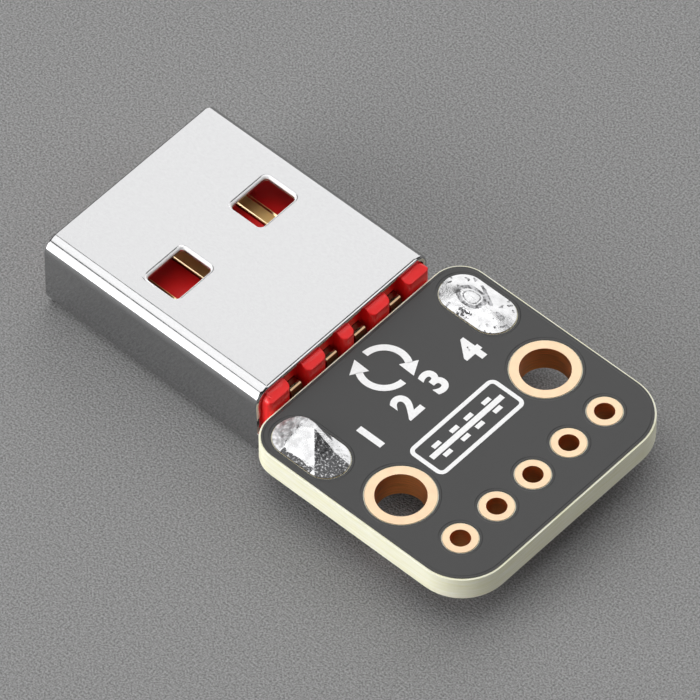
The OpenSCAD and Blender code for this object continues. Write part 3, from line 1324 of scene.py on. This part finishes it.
@dataclass
class FlatJoint(TabJoint):
    """Low joint, with a ring frozen round the end of the prong and pits beside it."""

    side: Side = Side.FAR
    edge_h: float = 0.03
    slope: float = 0.19
    level: float = 0.26
    level_blend: float = 0.04
    waves: tuple[Ripple, ...] = (Ripple(0.35, 0.006), Ripple(0.12, 0.002))
    line_h: float = 0.015
    ring_u: float = -0.42
    ring_v: float = 0.03
    ring_l: float = 0.76
    ring_w: float = 0.5
    ring_wall: float = 0.17
    ring_wander: Ripple = Ripple(0.6, 0.2)
    core_share: float = 0.62
    core_fineness: float = 3.0
    fold_start: tuple[float, float] = (-0.5, 0.9)
    fold_end: tuple[float, float] = (0.6, 0.26)
    fold_w: float = 0.09
    fold_wander: Ripple = Ripple(0.3, 0.06)
    pit_u: float = -0.2
    pit_v: float = -0.9
    pit_r: float = 0.3
    pit_depth: float = 0.1
    pit_share: float = 0.5
    pit_spots: Ripple = Ripple(0.17, 1.5)
    dull_pit: float = 0.4
    clouds: Ripple = Ripple(0.22, 1.0)
    cloud_level: float = 0.3

    def ring_away(self, u: float, v: float) -> float:
        """Distance from the middle of the ring, 1 on the ring itself."""
        away = math.hypot((u - self.ring_u) / self.ring_l, (v - self.ring_v) / self.ring_w)
        return away + self.ring_wander.at(u, v)

    def fold_away(self, u: float, v: float) -> float:
        """Distance from the line of the fold.

        Args:
            u: place along the pad from its middle, in millimetres.
            v: place across the pad from its middle, in millimetres.

        Returns:
            The distance in millimetres.
        """
        start, end, point = Vector(self.fold_start), Vector(self.fold_end), Vector((u, v))
        along = min(max((point - start).dot(end - start) / (end - start).length_squared, 0), 1)
        return (point - start.lerp(end, along)).length + self.fold_wander.at(u, v)

    def pit(self, u: float, v: float) -> float:
        """Share of the pits' depth at a place."""
        near = bell(math.hypot(u - self.pit_u, v - self.pit_v), self.pit_r)
        return near * max(0.0, self.pit_share + self.pit_spots.at(u, v))

    def patches(self) -> list[Patch]:
        """List the lines with the clouds at the ends, then the pits; the lines and the pits are partly
        painted shade.
        """
        return [Patch(WRINKLED_SHADED_SOLDER, self.is_wrinkled),
                Patch(GRAINY_SHADED_SOLDER, lambda u, v: self.pit(u, v) > self.dull_pit)]

    def is_wrinkled(self, u: float, v: float) -> bool:
        """Tell whether a line of the ring or the fold, or a cloud at an end, is at a place.

        Args:
            u: place along the pad from its middle, in millimetres.
            v: place across the pad from its middle, in millimetres.

        Returns:
            True on wrinkled solder, partly painted shade.
        """
        away = self.ring_away(u, v)
        on_core = abs(away - self.core_share) < self.ring_wall / self.core_fineness
        on_ring = abs(away - 1) < self.ring_wall or on_core
        on_fold = self.fold_away(u, v) < self.fold_w
        return on_ring or on_fold or abs(u) > self.reach and self.clouds.at(u, v) > self.cloud_level

    def height(self, u: float, v: float) -> float:
        """Low dome with the ring, a fold outside it and the pits.

        Args:
            u: place along the pad from its middle, in millimetres.
            v: place across the pad from its middle, in millimetres.

        Returns:
            The height in millimetres.
        """
        dome = blend_min(self.edge_h + self.slope * self.inside(u, v), self.level, self.level_blend)
        lines = bell(self.ring_away(u, v) - 1, self.ring_wall) + bell(self.fold_away(u, v), self.fold_w)
        waves = sum(wave.at(u, v) for wave in self.waves)
        return max(dome + self.line_h * lines + waves - self.pit_depth * self.pit(u, v), 0.0)


@dataclass
class LeadJoints:
    """Fillets of solder round the feet of the leads, under the board."""

    ways: int = 4
    edge_r: float = 0.05
    smooth_angle: float = math.radians(60)
    finish: Finish = TinSolder()

    def build(self) -> list[Piece]:
        """Model the fillets and dress them.

        Returns:
            The mounted fillets.
        """
        pieces = []
        for way in range(1, self.ways + 1):
            node = f"lead_solder_{way}"
            piece = bench_copy(node, f"lead_fillet_{way}")
            round_edges(piece, self.edge_r)
            smooth(piece, self.smooth_angle)
            pieces.append(mount(piece, wired(self.finish), "solder", node))
        return pieces


@dataclass
class ScreenPrint:
    """White print on the face of the board: plain numbers and two signs."""

    face_z: float
    ink: float = 0.014
    lead_ways: int = 4
    corner_segments: int = 8
    digit_turn: float = math.radians(90)
    digit_h: float = 1.4
    digit_shift: float = 0.3
    cap_share: float = 0.7
    weight: float = 0.055
    flip_x: float = 2.05
    flip_r: float = 1.4
    flip_sides: int = 120
    flip_stroke: float = 0.36
    flip_head: float = 0.56
    flip_gap: float = math.radians(58)
    mouth_scale: float = 0.5
    mouth_shift: float = -0.4
    mouth_r: float = 0.4
    mouth_stroke: float = 0.22
    tongue_t: float = 0.3
    tongue_w: float = 5.0
    strip_shift: float = 0.36
    strip_t: float = 0.24
    strip_w: float = 0.5
    finish: Finish = WhiteInk()

    def build(self) -> list[Piece]:
        """Print the numbers and the signs."""
        made = [self.numbers(), self.flip_sign(), self.mouth_sign()]
        return [mount(piece, wired(self.finish), None) for piece in made]

    def digit(self, text: str, x: float, y: float) -> Piece:
        """Set one figure, with its top towards the plug.

        Args:
            text: the figure.
            x: middle of the figure along the board, in millimetres.
            y: middle of the figure across the board, in millimetres.

        Returns:
            The figure as a mesh.
        """
        clear_bench()
        bpy.ops.object.text_add(rotation=(0, 0, self.digit_turn))
        piece = bpy.context.object
        piece.data.body = text
        piece.data.size = self.digit_h / self.cap_share
        piece.data.align_x, piece.data.align_y = "CENTER", "CENTER"
        piece.data.offset = self.weight * self.digit_h
        piece.data.extrude = self.ink / 2
        bpy.ops.object.convert(target="MESH")
        piece.location = (x, y, self.face_z + self.ink / 2)
        bpy.ops.object.transform_apply(location=True, rotation=True)
        bpy.ops.object.mode_set(mode="EDIT")
        bpy.ops.mesh.select_all(action="SELECT")
        bpy.ops.mesh.remove_doubles(threshold=MERGE_DISTANCE)
        leave_mesh()
        return piece

    def numbers(self) -> Piece:
        """Number the contacts.

        Returns:
            The numbers as one piece.
        """
        x = box_mm("tab_barrel_near")[1].x - self.digit_h / 2 + self.digit_shift
        ways = range(1, self.lead_ways + 1)
        made = [self.digit(str(way), x, middle_mm(f"upper_contact_{way}").y) for way in ways]
        return join(made, "printed_numbers")

    def raise_ink(self, piece: Piece) -> Piece:
        """Give a flat outline the thickness of the ink.

        Args:
            piece: the outline on the bench.

        Returns:
            The same piece, closed.
        """
        pick_all(piece)
        bpy.ops.mesh.extrude_region_move(TRANSFORM_OT_translate={"value": (0, 0, self.ink)})
        bpy.ops.mesh.select_all(action="SELECT")
        bpy.ops.mesh.normals_make_consistent(inside=False)
        leave_mesh()
        return piece

    def bar(self, x: float, y: float, length: float, width: float, radius: float = 0.0) -> Piece:
        """Draw a flat bar, with round corners if it has a radius.

        Args:
            x: middle along the board, in millimetres.
            y: middle across the board, in millimetres.
            length: along the board, in millimetres.
            width: across the board, in millimetres.
            radius: of its corners, in millimetres.

        Returns:
            The bar, in edit mode with its face selected.
        """
        clear_bench()
        bpy.ops.mesh.primitive_plane_add(size=1, location=(x, y, self.face_z))
        piece = bpy.context.object
        piece.scale = (length, width, 1)
        bpy.ops.object.transform_apply(location=True, scale=True)
        bpy.ops.object.mode_set(mode="EDIT")
        bpy.ops.mesh.select_all(action="SELECT")
        if radius:
            bpy.ops.mesh.bevel(offset=radius, segments=self.corner_segments, affect="VERTICES")
            bpy.ops.mesh.select_all(action="SELECT")
        return piece

    def flip_sign(self) -> Piece:
        """Draw two curved arrows that chase each other: the plug goes in either way up.

        Returns:
            The sign, as thick as the ink.
        """
        x = box_mm("laminate")[0].x + self.flip_x
        clear_bench()
        bpy.ops.mesh.primitive_circle_add(vertices=self.flip_sides, radius=self.flip_r, fill_type="NGON",
                                          location=(x, 0, self.face_z))
        ring = bpy.context.object
        bpy.ops.object.transform_apply(location=True)
        pick_all(ring)
        bpy.ops.mesh.inset(thickness=self.flip_stroke)
        bpy.ops.mesh.delete(type="FACE")
        pick(ring, Pick.FACES, lambda f: math.atan2(f.center.y, f.center.x - x) % math.pi < self.flip_gap)
        bpy.ops.mesh.delete(type="FACE")
        leave_mesh()
        heads = [self.arrow_head(x, self.flip_gap + half_turn) for half_turn in (0, math.pi)]
        return self.raise_ink(join([ring, *heads], "printed_flip_sign"))

    def arrow_head(self, x: float, angle: float) -> Piece:
        """Draw the head of one curved arrow.

        Args:
            x: middle of the sign along the board, in millimetres.
            angle: place of the arrow's end round the sign.

        Returns:
            The flat head.
        """
        clear_bench()
        bpy.ops.mesh.primitive_circle_add(vertices=3, radius=self.flip_head, fill_type="NGON")
        head = bpy.context.object
        place = Vector((math.cos(angle), math.sin(angle))) * (self.flip_r - self.flip_stroke / 2)
        ahead = Vector((math.sin(angle), -math.cos(angle))) * (self.flip_head / 2)
        head.rotation_euler.z = math.atan2(ahead.y, ahead.x) - math.pi / 2
        head.location = (x + place.x + ahead.x, place.y + ahead.y, self.face_z)
        bpy.ops.object.transform_apply(location=True, rotation=True)
        return head

    def mouth_sign(self) -> Piece:
        """Draw the mouth of the plug at half size: shell, tongue and both rows of contacts.

        Returns:
            The sign, as thick as the ink.
        """
        x = middle_mm("mount_barrel_near").x + self.mouth_shift
        low, high = box_mm("plug_shell")
        mouth = (high - low) * self.mouth_scale
        shell = self.bar(x, 0, mouth.z, mouth.y, self.mouth_r)
        bpy.ops.mesh.inset(thickness=self.mouth_stroke)
        bpy.ops.mesh.delete(type="FACE")
        parts = [shell, self.bar(x, 0, self.tongue_t, self.tongue_w)]
        for way in range(1, self.lead_ways + 1):
            y = middle_mm(f"upper_contact_{way}").y * self.mouth_scale
            for row in Row:
                parts.append(self.bar(x + row.outward * self.strip_shift, y, self.strip_t, self.strip_w))
        leave_mesh()
        return self.raise_ink(join(parts, "printed_mouth_sign"))


# Studio

def direction(azimuth: float, elevation: float) -> Vector:
    """Direction from the object to a viewer or a lamp.

    Args:
        azimuth: in degrees; at 0 the viewer looks along +Y, at 90 along -X.
        elevation: in degrees above the floor.

    Returns:
        The unit vector.
    """
    turn, lift = math.radians(azimuth), math.radians(elevation)
    flat = math.cos(lift)
    return Vector((math.sin(turn) * flat, -math.cos(turn) * flat, math.sin(lift)))


@dataclass(frozen=True)
class SoftBox:
    """Large soft lamp, aimed at the object, with its sizes in metres and its angles in degrees."""

    name: str
    azimuth: float
    elevation: float
    distance: float
    width: float
    height: float
    radiance: float

    def place(self, target: Vector) -> None:
        """Hang the lamp.

        Args:
            target: point that it is aimed at, in metres.
        """
        lamp = bpy.data.lights.new(self.name, "AREA")
        lamp.shape = "RECTANGLE"
        lamp.size, lamp.size_y = self.width, self.height
        lamp.energy = self.radiance * math.pi * self.width * self.height
        holder = bpy.data.objects.new(self.name, lamp)
        back = direction(self.azimuth, self.elevation)
        holder.location = target + back * self.distance
        holder.rotation_euler = back.to_track_quat("Z", "Y").to_euler()
        holder.visible_camera = False
        bpy.context.scene.collection.objects.link(holder)


TOP_BOX = SoftBox("top_box", azimuth=-75.0, elevation=82.0,
                  distance=0.8, width=0.74, height=0.8, radiance=2.1)
BACK_BOX = SoftBox("back_box", azimuth=204.0, elevation=30.0,
                   distance=0.8, width=0.9, height=0.84, radiance=1.75)
LEFT_BOX = SoftBox("left_box", azimuth=-33.0, elevation=36.0,
                   distance=0.7, width=0.42, height=0.26, radiance=2.4)
LOW_BOX = SoftBox("low_box", azimuth=-30.0, elevation=14.5,
                  distance=0.7, width=0.8, height=0.37, radiance=5.0)
RIGHT_BOX = SoftBox("right_box", azimuth=125.0, elevation=32.0,
                    distance=0.8, width=0.24, height=0.62, radiance=2.2)
FRONT_BOX = SoftBox("front_box", azimuth=30.0, elevation=20.0,
                    distance=0.8, width=1.0, height=0.5, radiance=0.35)


@dataclass
class Studio:
    """Pale floor, soft lamps and the camera, which is placed in millimetres and degrees."""

    aim: Point = (0.328, -0.28, 3.34)
    azimuth: float = 42.32
    elevation: float = 51.62
    distance: float = 488.4
    lens: float = 531.1
    sensor: float = 36.0
    nearest: float = 10.0
    farthest: float = 10000.0
    floor_width: float = 4000.0
    ambient: float = 0.045
    lamps: tuple[SoftBox, ...] = (TOP_BOX, BACK_BOX, LEFT_BOX, LOW_BOX, RIGHT_BOX, FRONT_BOX)
    finish: Finish = PaleFloor()

    def build(self) -> None:
        """Set up the floor, the light and the camera."""
        self.floor()
        target = Vector(self.aim) * MM
        for lamp in self.lamps:
            lamp.place(target)
        self.sky()
        self.camera(target)
        bpy.context.scene.view_settings.view_transform = "Standard"

    def floor(self) -> None:
        """Lay the table top under the object."""
        clear_bench()
        bpy.ops.mesh.primitive_plane_add(size=self.floor_width * MM, location=(0, 0, CAD_BOX[0].z))
        floor = bpy.context.object
        floor.name = "table_top"
        bpy.ops.object.transform_apply(location=True)
        floor.data.materials.append(wired(self.finish))

    def sky(self) -> None:
        """Fill the room with a little even light."""
        world = bpy.data.worlds.new("room")
        world.use_nodes = True
        background = next(n for n in world.node_tree.nodes if n.type == "BACKGROUND")
        background.inputs["Color"].default_value = (1, 1, 1, 1)
        background.inputs["Strength"].default_value = self.ambient
        bpy.context.scene.world = world

    def camera(self, target: Vector) -> None:
        """Set the camera up as in the photograph.

        Args:
            target: point in the middle of the picture, in metres.
        """
        lens = bpy.data.cameras.new("camera")
        lens.lens, lens.sensor_width = self.lens, self.sensor
        lens.clip_start, lens.clip_end = self.nearest * MM, self.farthest * MM
        camera = bpy.data.objects.new("camera", lens)
        back = direction(self.azimuth, self.elevation)
        camera.location = target + back * self.distance * MM
        camera.rotation_euler = (-back).to_track_quat("-Z", "Y").to_euler()
        bpy.context.scene.collection.objects.link(camera)
        bpy.context.scene.camera = camera


def main() -> None:
    """Build every sub-assembly in order, then the studio."""
    logging.basicConfig(level=logging.INFO, format="%(name)s: %(message)s")
    PlugShell().build()
    Insulator().build()
    Contacts().build()
    board = Board()
    board.build()
    SteepJoint().build()
    FlatJoint().build()
    LeadJoints().build()
    ScreenPrint(box_mm("top_solder_mask")[1].z + board.step_rise).build()
    Studio().build()


if __name__ == "__main__":
    main()
